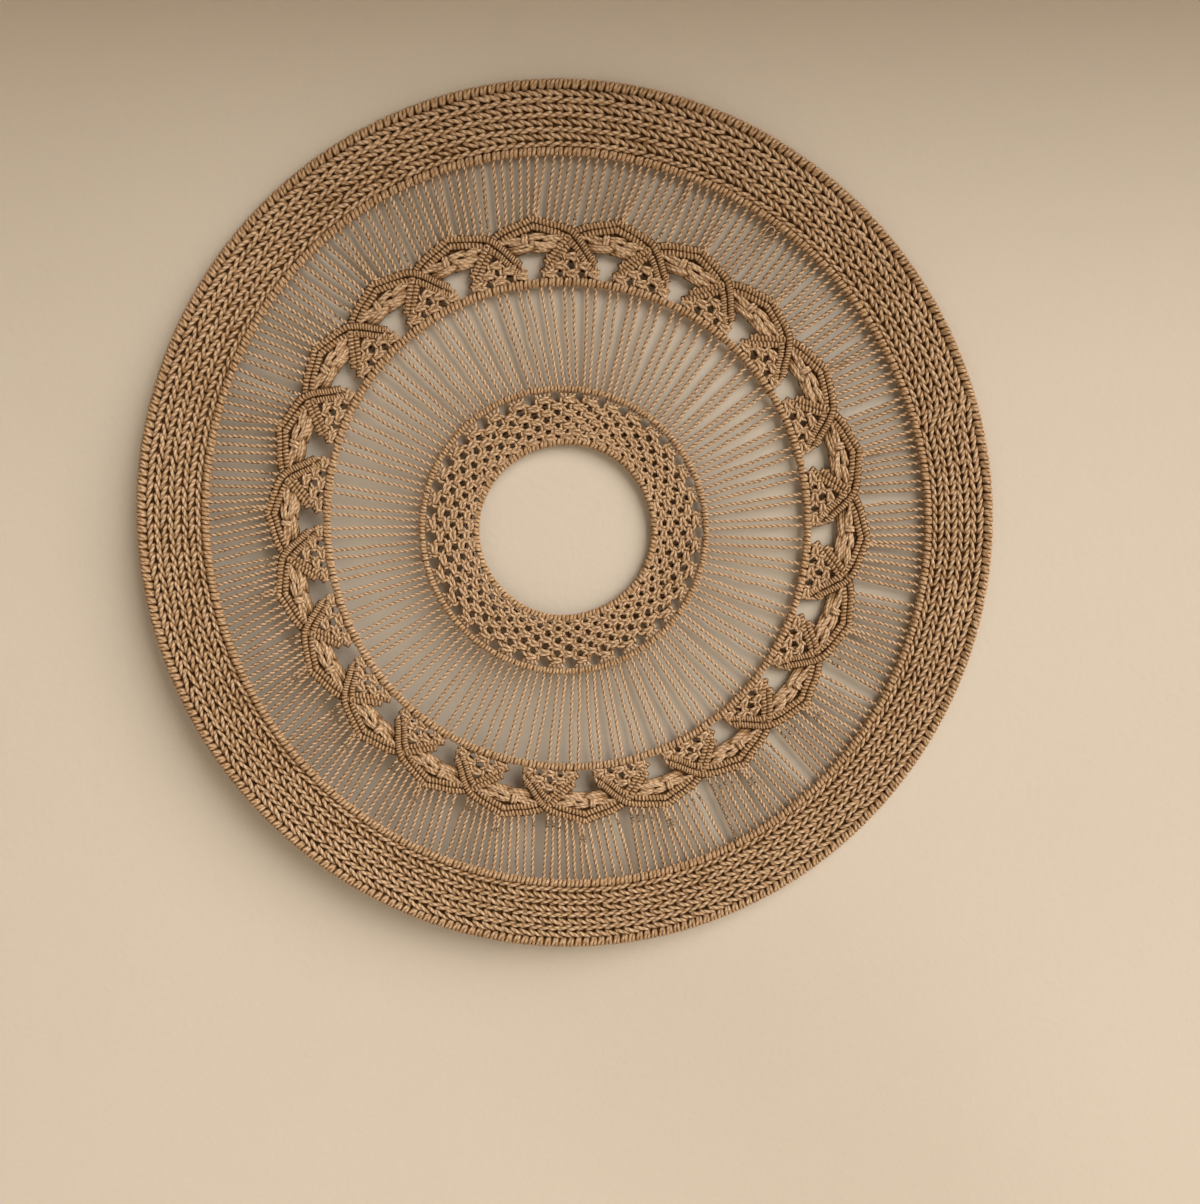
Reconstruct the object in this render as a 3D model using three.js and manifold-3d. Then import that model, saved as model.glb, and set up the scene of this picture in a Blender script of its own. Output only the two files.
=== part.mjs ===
// Macrame dreamcatcher: five cord-covered hoops, one inside another, joined by knotted webs of cord.
// Millimetres. The origin is the hanging point at the top of the rim, +Z is up, and the front faces -Y.
import * as THREE from "three";
import { mergeVertices } from "three/addons/utils/BufferGeometryUtils.js";
import Module from "manifold-3d";

const wasm = await Module();
wasm.setup();

// Driving dimensions
const RIM_RADIUS = 350; // outside of the cord-covered rim
const CORD = 3; // diameter of the twisted cord
const CLEARANCE = 0.3; // between neighbouring pieces
const PETALS = 22; // repeats of the scalloped band
const SPOKE_PAIRS = 66; // pairs of cords between the net and the scalloped band
const FACETS = 66; // flats round every hoop and web
const SAME_POINT = 1e-4; // corners nearer than this are one

// Hoops, from the rim inwards: radius of the tube's centre line, and of the tube with its hitched cord
const HOOPS = {
  rim: { centre: RIM_RADIUS - 4.1, tube: 4.1 },
  chain: { centre: 296.9, tube: 3.7 },
  petal: { centre: 197.5, tube: 3.7 },
  spoke: { centre: 116, tube: 3.2 },
  eye: { centre: 72.4, tube: 3.2 },
};
const TUBE_SIDES = 6;

// Band of chain stitches between the rim and the second hoop
const CHAIN_ROWS = 4;
const CHAIN_FRONT = 3.6; // height of a row's crown over the middle plane
const CHAIN_FURROW = 2.0; // height between two rows
const CHAIN_BACK = 2.4;
const CROWN_START = 0.3; // share of a row's width where its crown begins

// Scalloped band: angles are measured from the middle of a petal, in degrees
const PETAL_START = 10.75; // middle of the first petal, clockwise from the top
const PETAL_WANDER = 2.1; // hand spacing: how far a petal strays from its even place
const WANDER_FROM = 66;
const PEAK_RADIUS = 246;
const VALLEY_RADIUS = 233;
const PLATE_HALF = 2.5; // half thickness of the knotted ground
const WINDOW = {
  foot: 1.7,
  waist: 2.6,
  head: 1.5,
  waistRadius: 212,
  headRadius: 219.5,
  crownRadius: 222.5,
};
const BASE_STEPS = 4; // flats along a triangle's base
const BAR = { width: 8.4, crown: 4, groove: 3, sunk: 2, footAngle: 3.2, footRadius: 207 };
const OVER = 1.1; // how much higher the bar lies that passes over the other
const BAR_STEPS = 4;
const BAR_TO_EDGE = 0.6 * BAR.width; // from the middle of a bar out to the edge of the ground

// Free cords: pairs inside the scalloped band, and one for each two cords outside it
const PAIR_SHIFT = 0.1; // where the first pair sits after the middle of a petal, in petals
const PAIR_NEAR = 2.5; // degrees between the two cords of a pair, at the hoop that carries them
const PAIR_FAR = 1.9; // the same at the scalloped band's hoop
const SPOKE_LEAN = { even: 0.7, most: 2.4, from: -15 }; // hand spacing: how far a pair leans, in degrees
const OUTER_PER_PETAL = 6;
const FAN_AT = 318; // where the outer cords fan apart, in degrees
const FAN_LEAN = { first: 2.4, last: -2.9 }; // lean just after and just before the fan

// Net of knots round the eye
const NET_ROUNDS = 6;
const KNOT_HEIGHT = 3.4;
const HOLLOW_HEIGHT = 1.5;
const NET_BACK = 2.2;
const NET_GAP = { width: 7, height: 7.5 };

const COLOURS = { hoop: 0xa9804f, chain: 0x977043, petals: 0x9c7647, net: 0xa07a4a };

// A point at a radius and an angle clockwise from the top, seen from the front
function polar(radius, degrees) {
  const angle = THREE.MathUtils.degToRad(degrees);
  return new THREE.Vector2(radius * Math.sin(angle), radius * Math.cos(angle));
}

const outside = (hoop) => hoop.centre + hoop.tube + CLEARANCE;
const inside = (hoop) => (hoop.centre - hoop.tube) * Math.cos(Math.PI / FACETS) - CLEARANCE;
const tipInside = (hoop) => inside(hoop) - CORD / 4; // room for the corner of a leaning cord

// The flats of neighbouring pieces line up, because all of them start at the top
function ring(profile) {
  return new THREE.LatheGeometry(profile, FACETS).rotateX(Math.PI / 2);
}

function toSolid(geometry) {
  const bare = geometry.clone();
  bare.deleteAttribute("normal");
  bare.deleteAttribute("uv");
  const merged = mergeVertices(bare, SAME_POINT);
  const mesh = new wasm.Mesh({
    numProp: 3,
    vertProperties: merged.attributes.position.array,
    triVerts: new Uint32Array(merged.index.array),
  });
  return new wasm.Manifold(mesh);
}

function toGeometry(solid) {
  const mesh = solid.getMesh();
  const geometry = new THREE.BufferGeometry();
  geometry.setAttribute("position", new THREE.BufferAttribute(new Float32Array(mesh.vertProperties), 3));
  geometry.setIndex(new THREE.BufferAttribute(new Uint32Array(mesh.triVerts), 1));
  geometry.computeVertexNormals();
  return geometry;
}

function join(geometries) {
  return geometries.map(toSolid).reduce((whole, piece) => whole.add(piece));
}

// A hoop with its covering of hitched cord
function hoopGeometry({ centre, tube }) {
  const profile = [];
  const corner = tube / Math.cos(Math.PI / TUBE_SIDES); // a flat faces the web on each side
  for (let side = 0; side <= TUBE_SIDES; side++) {
    const angle = (2 * Math.PI * (side + 0.5)) / TUBE_SIDES;
    profile.push(new THREE.Vector2(centre + corner * Math.cos(angle), corner * Math.sin(angle)));
  }
  return ring(profile);
}

// Rows of chain stitch: one crowned rib for each row, on a flat back
function chainGeometry() {
  const inner = outside(HOOPS.chain);
  const outer = inside(HOOPS.rim);
  const rowWidth = (outer - inner) / CHAIN_ROWS;
  const profile = [new THREE.Vector2(inner, -CHAIN_BACK), new THREE.Vector2(outer, -CHAIN_BACK)];
  for (let row = CHAIN_ROWS - 1; row >= 0; row--) {
    const start = inner + row * rowWidth;
    profile.push(new THREE.Vector2(start + rowWidth, CHAIN_FURROW));
    profile.push(new THREE.Vector2(start + rowWidth * (1 - CROWN_START), CHAIN_FRONT));
    profile.push(new THREE.Vector2(start + rowWidth * CROWN_START, CHAIN_FRONT));
  }
  profile.push(new THREE.Vector2(inner, CHAIN_FURROW), profile[0].clone());
  return ring(profile);
}

// Middle of a petal; a half number gives the place between two petals
function petalAngle(petal) {
  const even = PETAL_START + (petal * 360) / PETALS;
  return even - PETAL_WANDER * Math.cos(THREE.MathUtils.degToRad(even - WANDER_FROM));
}

// The two routes that cross between a petal and the next one, from peak to foot and from foot to peak
function barRoutes(petal) {
  const left = petalAngle(petal);
  const right = petalAngle(petal + 1);
  const crossing = polar(VALLEY_RADIUS, petalAngle(petal + 0.5));
  const falling = [polar(PEAK_RADIUS, left), crossing, polar(BAR.footRadius, right - BAR.footAngle)];
  const rising = [polar(BAR.footRadius, left + BAR.footAngle), crossing, polar(PEAK_RADIUS, right)];
  return [falling, rising].map((points) => new THREE.SplineCurve(points));
}

function outwards(point, distance) {
  return point.clone().setLength(point.length() + distance);
}

// The flat knotted ground: scalloped outside, with a window above the hoop in the middle of each petal
function petalGround() {
  const outline = [];
  const innerEdge = [];
  const base = outside(HOOPS.petal) + CLEARANCE;
  for (let petal = 0; petal < PETALS; petal++) {
    const middle = petalAngle(petal);
    const next = petalAngle(petal + 1);
    const [falling, rising] = barRoutes(petal);
    const downhill = [0, 0.25, 0.5].map((share) => falling.getPoint(share)); // from the peak to the crossing
    const scallop = [...downhill, rising.getPoint(0.75)];
    outline.push(...scallop.map((point) => outwards(point, BAR_TO_EDGE)));
    innerEdge.push(
      polar(WINDOW.waistRadius, middle - WINDOW.waist),
      polar(WINDOW.headRadius, middle - WINDOW.head),
      polar(WINDOW.crownRadius, middle),
      polar(WINDOW.headRadius, middle + WINDOW.head),
      polar(WINDOW.waistRadius, middle + WINDOW.waist),
    );
    for (let step = 0; step <= BASE_STEPS; step++) {
      const share = step / BASE_STEPS;
      innerEdge.push(polar(base, THREE.MathUtils.lerp(middle + WINDOW.foot, next - WINDOW.foot, share)));
    }
  }
  const shape = new THREE.Shape(outline);
  shape.holes.push(new THREE.Path(innerEdge.reverse())); // a hole runs against its outline
  const ground = new THREE.ExtrudeGeometry(shape, { depth: 2 * PLATE_HALF, bevelEnabled: false });
  return ground.translate(0, 0, -PLATE_HALF);
}

// A double bar of hitches: two ridges side by side, laid on the ground along a route
function barGeometry(route, lift) {
  const half = BAR.width / 2;
  // Along a path in the plane, a section's own x runs from front to back and its y across the bar
  const section = new THREE.Shape([
    new THREE.Vector2(-BAR.sunk, -half),
    new THREE.Vector2(-BAR.crown - lift, -half / 2),
    new THREE.Vector2(-BAR.groove - lift, 0),
    new THREE.Vector2(-BAR.crown - lift, half / 2),
    new THREE.Vector2(-BAR.sunk, half),
  ]);
  const points = route.getPoints(BAR_STEPS).map((point) => new THREE.Vector3(point.x, point.y, 0));
  const path = new THREE.CatmullRomCurve3(points);
  return new THREE.ExtrudeGeometry(section, { steps: BAR_STEPS, extrudePath: path, bevelEnabled: false });
}

// A straight length of cord between two points of the middle plane, three-sided with a flat back
function strand(from, to) {
  const along = to.clone().sub(from);
  const half = CORD / 2;
  const section = new THREE.Shape([
    new THREE.Vector2(-half, 0),
    new THREE.Vector2(half, half),
    new THREE.Vector2(half, -half),
  ]);
  const cord = new THREE.ExtrudeGeometry(section, { depth: along.length(), bevelEnabled: false });
  return cord.rotateY(Math.PI / 2).rotateZ(along.angle()).translate(from.x, from.y, 0);
}

// Lean of an outer cord: it drifts slowly round the hoop and springs back at the fan
function outerLean(degrees) {
  const turned = THREE.MathUtils.euclideanModulo(degrees - FAN_AT, 360) / 360;
  return THREE.MathUtils.lerp(FAN_LEAN.first, FAN_LEAN.last, turned);
}

function outerStrands(petal) {
  const strands = [];
  for (let cord = 0; cord < OUTER_PER_PETAL; cord++) {
    const place = (cord + 0.5) / OUTER_PER_PETAL - 0.5; // -0.5 to 0.5 across the petal
    const angle = petalAngle(petal + place);
    const root = THREE.MathUtils.lerp(PEAK_RADIUS, VALLEY_RADIUS, 2 * Math.abs(place));
    strands.push(strand(polar(root, angle), polar(tipInside(HOOPS.chain), angle + outerLean(angle))));
  }
  return strands;
}

function petalGeometry() {
  const pieces = [petalGround()];
  for (let petal = 0; petal < PETALS; petal++) {
    const [falling, rising] = barRoutes(petal);
    pieces.push(barGeometry(falling, OVER), barGeometry(rising, 0), ...outerStrands(petal));
  }
  return toGeometry(join(pieces));
}

// Where a pair of inner cords reaches the scalloped band's hoop, and where it starts on its own
function pairFar(pair) {
  return petalAngle((pair * PETALS) / SPOKE_PAIRS + PAIR_SHIFT);
}

function pairNear(pair) {
  const far = pairFar(pair);
  const turned = THREE.MathUtils.degToRad(far - SPOKE_LEAN.from);
  return far + SPOKE_LEAN.even + SPOKE_LEAN.most * Math.cos(turned);
}

// The fourth hoop with the pairs of cords hitched to it, which run out to the scalloped band's hoop
function spokeHoopGeometry() {
  const pieces = [hoopGeometry(HOOPS.spoke)];
  for (let pair = 0; pair < SPOKE_PAIRS; pair++) {
    for (const side of [-0.5, 0.5]) {
      const root = polar(HOOPS.spoke.centre, pairNear(pair) + side * PAIR_NEAR);
      const tip = polar(tipInside(HOOPS.petal), pairFar(pair) + side * PAIR_FAR);
      pieces.push(strand(root, tip));
    }
  }
  return toGeometry(join(pieces));
}

// A ring of staggered knots, raised in front and flat behind, with a column under each pair of cords
function knottedRing(inner, outer) {
  const columns = SPOKE_PAIRS;
  const points = [];
  const faces = [];
  const quad = (a, b, c, d) => faces.push(a, b, c, a, c, d);
  for (let column = 0; column < columns; column++) {
    const angle = pairNear(column);
    for (let round = 0; round <= NET_ROUNDS; round++) {
      const { x, y } = polar(THREE.MathUtils.lerp(inner, outer, round / NET_ROUNDS), angle);
      points.push(x, y, (column + round) % 2 ? HOLLOW_HEIGHT : KNOT_HEIGHT);
    }
    for (const radius of [inner, outer]) {
      const { x, y } = polar(radius, angle);
      points.push(x, y, -NET_BACK);
    }
  }
  const perColumn = NET_ROUNDS + 3;
  for (let column = 0; column < columns; column++) {
    const here = column * perColumn;
    const next = ((column + 1) % columns) * perColumn;
    for (let round = 0; round < NET_ROUNDS; round++) {
      quad(here + round, next + round, next + round + 1, here + round + 1);
    }
    const innerBack = NET_ROUNDS + 1;
    const outerBack = NET_ROUNDS + 2;
    quad(here + innerBack, here + outerBack, next + outerBack, next + innerBack);
    quad(here, here + innerBack, next + innerBack, next);
    quad(next + NET_ROUNDS, next + outerBack, here + outerBack, here + NET_ROUNDS);
  }
  const geometry = new THREE.BufferGeometry();
  geometry.setAttribute("position", new THREE.Float32BufferAttribute(points, 3));
  return geometry.setIndex(faces);
}

// The net, with a pointed gap under every second pair of cords
function netGeometry() {
  const inner = outside(HOOPS.eye);
  const outer = inside(HOOPS.spoke);
  const { width, height } = NET_GAP;
  const roundDepth = (outer - inner) / NET_ROUNDS;
  const gapShape = new THREE.Shape([
    new THREE.Vector2(0, height / 2),
    new THREE.Vector2(-width / 2, 0),
    new THREE.Vector2(0, -height / 2),
    new THREE.Vector2(width / 2, 0),
  ]);
  const depth = 4 * KNOT_HEIGHT;
  let net = toSolid(knottedRing(inner, outer));
  for (let pair = 0; pair < SPOKE_PAIRS; pair += 2) {
    const angle = pairNear(pair);
    const place = polar(outer - roundDepth, angle);
    const cut = new THREE.ExtrudeGeometry(gapShape, { depth, bevelEnabled: false });
    cut.translate(0, 0, -depth / 2).rotateZ(-THREE.MathUtils.degToRad(angle)).translate(place.x, place.y, 0);
    net = net.subtract(toSolid(cut));
  }
  return toGeometry(net);
}

function cordMaterial(color) {
  return new THREE.MeshStandardMaterial({ color, roughness: 0.9, metalness: 0 });
}

function piece(name, geometry, color) {
  const mesh = new THREE.Mesh(geometry, cordMaterial(color));
  mesh.name = name;
  return mesh;
}

// Modelled face up round its own middle, then stood up and hung from the top of the rim
const disc = new THREE.Group();
disc.add(
  piece("hoop_rim", hoopGeometry(HOOPS.rim), COLOURS.hoop),
  piece("chain_band", chainGeometry(), COLOURS.chain),
  piece("hoop_chain", hoopGeometry(HOOPS.chain), COLOURS.hoop),
  piece("petal_band", petalGeometry(), COLOURS.petals),
  piece("hoop_petal", hoopGeometry(HOOPS.petal), COLOURS.hoop),
  piece("hoop_spoke", spokeHoopGeometry(), COLOURS.hoop),
  piece("knot_net", netGeometry(), COLOURS.net),
  piece("hoop_eye", hoopGeometry(HOOPS.eye), COLOURS.hoop),
);
disc.rotation.x = Math.PI / 2;
disc.position.z = -RIM_RADIUS;

const dreamcatcher = new THREE.Group();
dreamcatcher.add(disc);

export default dreamcatcher;
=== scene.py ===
import math

import bmesh
import bpy
import numpy as np
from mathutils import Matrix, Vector


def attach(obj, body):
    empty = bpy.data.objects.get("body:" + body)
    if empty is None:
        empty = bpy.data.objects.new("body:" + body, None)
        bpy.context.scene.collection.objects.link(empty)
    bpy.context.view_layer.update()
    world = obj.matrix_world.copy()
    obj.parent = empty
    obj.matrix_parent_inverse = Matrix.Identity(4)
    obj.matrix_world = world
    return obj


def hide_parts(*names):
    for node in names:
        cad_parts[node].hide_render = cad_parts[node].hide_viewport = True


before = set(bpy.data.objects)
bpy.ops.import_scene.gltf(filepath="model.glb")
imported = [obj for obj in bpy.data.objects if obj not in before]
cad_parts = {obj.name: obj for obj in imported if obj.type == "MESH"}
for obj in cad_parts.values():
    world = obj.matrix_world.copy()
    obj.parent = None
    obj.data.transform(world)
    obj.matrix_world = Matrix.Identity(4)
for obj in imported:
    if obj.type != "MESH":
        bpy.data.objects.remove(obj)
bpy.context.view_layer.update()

MM = 0.001
CENTRE_DROP = 350.0  # from the hanging point down to the middle of the disc
FRONT = np.array([0.0, -1.0, 0.0])
LAY = 9.2  # length of one full twist of the two-ply cord
STOCK = 300.0  # lengths of cord are cut from anywhere along this much of it
hand = np.random.default_rng(22)  # the unevenness of handwork
SIZE_SPREAD = 0.04  # share by which the sizes of cords and knots differ

# Hoops: radius of the tube's centre line, radius over the hitched cord, hitches round it, and the height
# of the tube's middle
HOOPS = {
    "rim": (345.9, 4.35, 664, 0.0),
    "chain": (296.9, 3.4, 528, 1.0),
    "petal": (197.5, 3.5, 388, 1.2),
    "spoke": (116.0, 2.75, 264, 1.8),
    "eye": (72.4, 3.2, 134, 0.6),
}
PETALS = 22
PETAL_START = 10.75  # degrees from the top to the first window, if all were evenly spaced
PEAK_SHIFT = 1.2  # a petal's peak sits this far clockwise of its window
INNER_PAIRS = 66  # of free cords between the third and fourth hoops

# Hand-bound hoops are a little out of round: how far out they lie, by radius, at every 30 degrees
# clockwise from the top, as measured on the photo
SETTLED = {
    72.0: (1.5, 2.2, 1.7, 1.0, -0.8, -2.2, -2.8, -1.3, -0.9, 0.5, 1.0, 0.6),
    116.0: (-0.5, -1.4, -0.6, -0.9, -1.4, -2.2, -2.0, -1.2, 0.0, 0.8, 1.6, 0.6),
    197.5: (0.6, 2.8, 2.8, 1.0, 0.9, -0.2, -2.3, -3.3, -3.2, -3.2, 0.8, 2.2),
    236.0: (3.0, 3.3, 3.6, 3.8, 1.0, -2.0, -2.7, -3.2, -3.6, -1.6, 2.8, 4.2),
    297.0: (0.2, -1.6, -1.2, 0.4, 1.0, 1.9, -1.4, -3.0, -3.8, -3.2, 0.6, 2.6),
    346.0: (1.7, -0.6, -1.2, 0.6, 1.2, 2.5, 2.2, 0.9, -0.4, 0.6, 1.2, 2.1),
}
SETTLED_RADII = tuple(SETTLED)
SETTLED_PLACES = 12
HARMONICS = 5
SETTLED_WAVES = np.fft.rfft(list(SETTLED.values()), axis=1)[:, :HARMONICS] / (SETTLED_PLACES / 2)
SETTLED_WAVES[:, 0] /= 2


def settled(radius, angle):
    """A radius as it lies in the finished work, at an angle in radians."""
    moved = np.zeros(np.shape(angle))
    for ring, waves in enumerate(SETTLED_WAVES):
        share = np.interp(radius, SETTLED_RADII, np.eye(len(SETTLED_RADII))[ring])
        shape = sum((size * np.exp(1j * turns * angle)).real for turns, size in enumerate(waves))
        moved = moved + share * shape
    return radius + moved


def at(radius, degrees, front=0.0):
    """Points from a radius, an angle clockwise from the top and a height over the middle plane."""
    radius, degrees, front = np.broadcast_arrays(radius, degrees, front)
    angle = np.radians(degrees)
    radius = settled(radius, angle)
    return np.stack([radius * np.sin(angle), -front, radius * np.cos(angle) - CENTRE_DROP], axis=-1)


def unit(vectors):
    return vectors / np.linalg.norm(vectors, axis=-1, keepdims=True)


def through(points, count):
    """A smooth route through points, along the last axis but one."""
    points = np.asarray(points, float)
    before = 2 * points[..., :1, :] - points[..., 1:2, :]
    after = 2 * points[..., -1:, :] - points[..., -2:-1, :]
    padded = np.concatenate([before, points, after], axis=-2)
    spans = points.shape[-2] - 1
    place = np.linspace(0, spans, count)
    span = np.minimum(place.astype(int), spans - 1)
    share = (place - span)[:, None]
    a, b, c, d = (padded[..., span + step, :] for step in range(4))
    square = 2 * a - 5 * b + 4 * c - d
    cube = 3 * b - a - 3 * c + d
    return 0.5 * (2 * b + (c - a) * share + square * share**2 + cube * share**3)


def smoothstep(value):
    value = np.clip(value, 0, 1)
    return value * value * (3 - 2 * value)


# Cross-sections: angles in degrees and radii; a ply's crown lies at 0 and 180, its groove at 90 and 270
SLIM_PLY = ((0, 64, 116, 180, 244, 296), (1.04, 0.66, 0.66, 1.04, 0.66, 0.66))
SIX_SIDED = ((0, 60, 120, 180, 240, 300), (1, 1, 1, 1, 1, 1))
HITCH = ((6, 60, 120, 174, 270), (1.0, 1.0, 1.0, 1.0, 0.75))
HITCH_SLIM = ((10, 90, 170, 270), (1.0, 1.0, 1.0, 0.75))


class CordWork:
    """Lengths of cord that are joined into one mesh.

    The UV map carries the twist, tint tells one length from another, and painted shade grows with how deep a
    place lies in the work.
    """

    def __init__(self):
        self.points = []
        self.faces = []
        self.uvs = []
        self.tints = []
        self.shade_values = []
        self.count = 0

    def lay(self, paths, half_width, half_height, section, front=FRONT, closed=False, twisted=False,
            painted_shade=0.0, deep=None, edge=0.9):
        """Sweep a section along paths.

        deep gives the fronts where the work is in full shade and fully open, and edge shades the sides of
        closed rounds.
        """
        paths = np.asarray(paths, float)
        cords, stops, _ = paths.shape
        angles = np.radians(section[0])
        radii = np.asarray(section[1], float)
        sides = len(angles)
        if closed:
            tangent = np.roll(paths, -1, axis=1) - np.roll(paths, 1, axis=1)
            steps = np.linalg.norm(np.roll(paths, -1, axis=1) - paths, axis=-1)
        else:
            tangent = np.gradient(paths, axis=1)
            steps = np.linalg.norm(np.diff(paths, axis=1), axis=-1)
        tangent = unit(tangent)
        across = unit(np.cross(tangent, front))
        up = np.cross(across, tangent)
        length = np.concatenate([np.zeros((cords, 1)), np.cumsum(steps, axis=1)], axis=1)
        phase = hand.uniform(0, 1, (cords, 1))
        turn = phase - length / LAY
        if twisted:
            angle = angles + 2 * np.pi * turn[:, :stops, None]
        else:
            angle = np.broadcast_to(angles, (cords, stops, sides))
        half_width = np.broadcast_to(half_width, (cords, stops))[..., None]
        half_height = np.broadcast_to(half_height, (cords, stops))[..., None]
        sideways = (half_width * radii * np.cos(angle))[..., None] * across[:, :, None, :]
        upwards = (half_height * radii * np.sin(angle))[..., None] * up[:, :, None, :]
        points = paths[:, :, None, :] + sideways + upwards
        self.points.append(points.reshape(-1, 3))
        painted_shade = np.broadcast_to(painted_shade, points.shape[:3])
        # Painted shade: darker at the sides of closed rounds and where the work lies deep
        if closed:
            painted_shade = np.maximum(painted_shade, edge * (1 - np.clip(np.sin(angles), 0, 1)))
        if deep:
            painted_shade = np.maximum(painted_shade, np.clip((deep[1] + points[..., 1]) / (deep[1] - deep[0]), 0, 1))
        self.shade_values.append(painted_shade.reshape(-1))

        index = self.count + np.arange(cords * stops * sides).reshape(cords, stops, sides)
        self.count += index.size
        if closed:
            ring = np.concatenate([index, index[:, :1]], axis=1)
        else:
            ring = index
        wrapped = np.concatenate([ring, ring[:, :, :1]], axis=2)
        corners = (wrapped[:, :-1, :-1], wrapped[:, 1:, :-1], wrapped[:, 1:, 1:], wrapped[:, :-1, 1:])
        self.faces.append(np.stack(corners, axis=-1).reshape(-1, 4))
        ply = np.append(angles, angles[0] + 2 * np.pi) / (2 * np.pi)
        rings = length.shape[1] if closed else stops
        ply = np.broadcast_to(ply, (cords, rings, sides + 1))
        if not twisted:
            ply = ply - turn[:, :rings, None]
        start = hand.uniform(0, STOCK, (cords, 1, 1))
        reach = np.broadcast_to(length[:, :rings, None] + start, ply.shape)
        uv = np.stack([reach, ply], axis=-1)
        corners = (uv[:, :-1, :-1], uv[:, 1:, :-1], uv[:, 1:, 1:], uv[:, :-1, 1:])
        self.uvs.append(np.stack(corners, axis=-2).reshape(-1, 2))
        if not closed:
            self.close_ends(index, uv, sides)
        tint = hand.normal(0, 1, (cords, 1, 1))
        self.tints.append(np.broadcast_to(tint, index.shape).reshape(-1))

    def close_ends(self, index, uv, sides):
        """Cap both ends of open lengths."""
        for step in range(sides // 2 - 1):
            corner = [step, step + 1, sides - 2 - step, sides - 1 - step]
            for stop, order in ((0, corner), (-1, corner[::-1])):
                self.faces.append(index[:, stop, order])
                self.uvs.append(uv[:, stop, order].reshape(-1, 2))

    def piece(self, name, finish, slot, *nodes):
        mesh = bpy.data.meshes.new(name)
        points = np.concatenate(self.points) * MM
        faces = np.concatenate(self.faces)
        mesh.vertices.add(len(points))
        mesh.vertices.foreach_set("co", points.ravel())
        mesh.loops.add(faces.size)
        mesh.loops.foreach_set("vertex_index", faces.ravel())
        mesh.polygons.add(len(faces))
        mesh.polygons.foreach_set("loop_start", np.arange(0, faces.size, 4))
        uv_map = mesh.uv_layers.new(name="twist")
        uv_map.uv.foreach_set("vector", np.concatenate(self.uvs).ravel())
        for kind, values in (("tint", self.tints), ("painted_shade", self.shade_values)):
            mesh.attributes.new(kind, "FLOAT", "POINT").data.foreach_set("value", np.concatenate(values))
        mesh.update(calc_edges=True)
        mesh.shade_smooth()
        return hang(name, mesh, finish, slot, *nodes)


def hang(name, mesh, finish, slot, *nodes):
    """A finished mesh as a piece of the object, standing for its CAD nodes."""
    piece = bpy.data.objects.new(name, mesh)
    bpy.context.scene.collection.objects.link(piece)
    mesh.materials.append(finish)
    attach(piece, "root")
    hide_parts(*nodes)
    return piece


RING_STEPS = 132


def spun_ring(name, outline, finish, slot, *nodes):
    """A ring turned from a closed outline of (radius, front) points."""
    shape = bmesh.new()
    corners = [shape.verts.new((radius * MM, -front * MM, 0)) for radius, front in outline]
    edges = [shape.edges.new((corners[i - 1], corners[i])) for i in range(len(corners))]
    bmesh.ops.spin(
        shape,
        geom=corners + edges,
        cent=(0, 0, 0),
        axis=(0, 1, 0),
        angle=2 * math.pi,
        steps=RING_STEPS,
        use_merge=True,
    )
    bmesh.ops.recalc_face_normals(shape, faces=shape.faces)
    x, y, z = np.array([corner.co for corner in shape.verts]).T
    places = at(np.hypot(x, z) / MM, np.degrees(np.arctan2(x, z)), -y / MM)
    for corner, place in zip(shape.verts, places):
        corner.co = place * MM
    mesh = bpy.data.meshes.new(name)
    shape.to_mesh(mesh)
    shape.free()
    mesh.shade_smooth()
    return hang(name, mesh, finish, slot, *nodes)


# Materials


class Term:
    """A socket of a material that takes Python arithmetic."""

    def __init__(self, finish, socket):
        self.finish = finish
        self.socket = socket

    def maths(self, operation, *values, clamp=False):
        inputs = dict(enumerate(values))
        return self.finish.node("ShaderNodeMath", {"operation": operation, "use_clamp": clamp}, inputs)

    def __add__(self, other):
        return self.maths("ADD", self, other)

    def __radd__(self, other):
        return self.maths("ADD", other, self)

    def __sub__(self, other):
        return self.maths("SUBTRACT", self, other)

    def __rsub__(self, other):
        return self.maths("SUBTRACT", other, self)

    def __mul__(self, other):
        return self.maths("MULTIPLY", self, other)

    def __rmul__(self, other):
        return self.maths("MULTIPLY", other, self)

    def __abs__(self):
        return self.maths("ABSOLUTE", self)

    def fraction(self):
        return self.maths("FRACT", self)

    def clamped(self):
        return self.maths("ADD", self, 0.0, clamp=True)


class Finish:
    """A material under construction."""

    def __init__(self, name):
        self.material = bpy.data.materials.new(name)
        self.material.use_nodes = True
        self.tree = self.material.node_tree
        self.tree.nodes.clear()

    def node(self, kind, settings=None, inputs=None, output=0):
        made = self.tree.nodes.new(kind)
        for key, value in (settings or {}).items():
            setattr(made, key, value)
        for key, value in (inputs or {}).items():
            if isinstance(value, Term):
                self.tree.links.new(value.socket, made.inputs[key])
            else:
                made.inputs[key].default_value = value
        return Term(self, made.outputs[output])

    def place(self):
        return self.node("ShaderNodeTexCoord", output="Object")

    def blend(self, share, first, second):
        settings = {"data_type": "RGBA"}
        return self.node("ShaderNodeMix", settings, {0: share, 6: first, 7: second}, output=2)

    def close(self, surface):
        end = self.tree.nodes.new("ShaderNodeOutputMaterial")
        self.tree.links.new(surface.socket, end.inputs["Surface"])
        return self.material


# Painted shade, mixed into the cord in its ply grooves and where the work lies deep
CORD_PAINTED_SHADE = (0.026, 0.010, 0.003, 1.0)
CORD_MID = (0.37, 0.209, 0.094, 1.0)
CORD_PALE = (0.72, 0.488, 0.298, 1.0)
# Painted highlight on the crowns of the plies
CORD_PAINTED_HIGHLIGHT = (0.94, 0.765, 0.59, 1.0)
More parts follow.
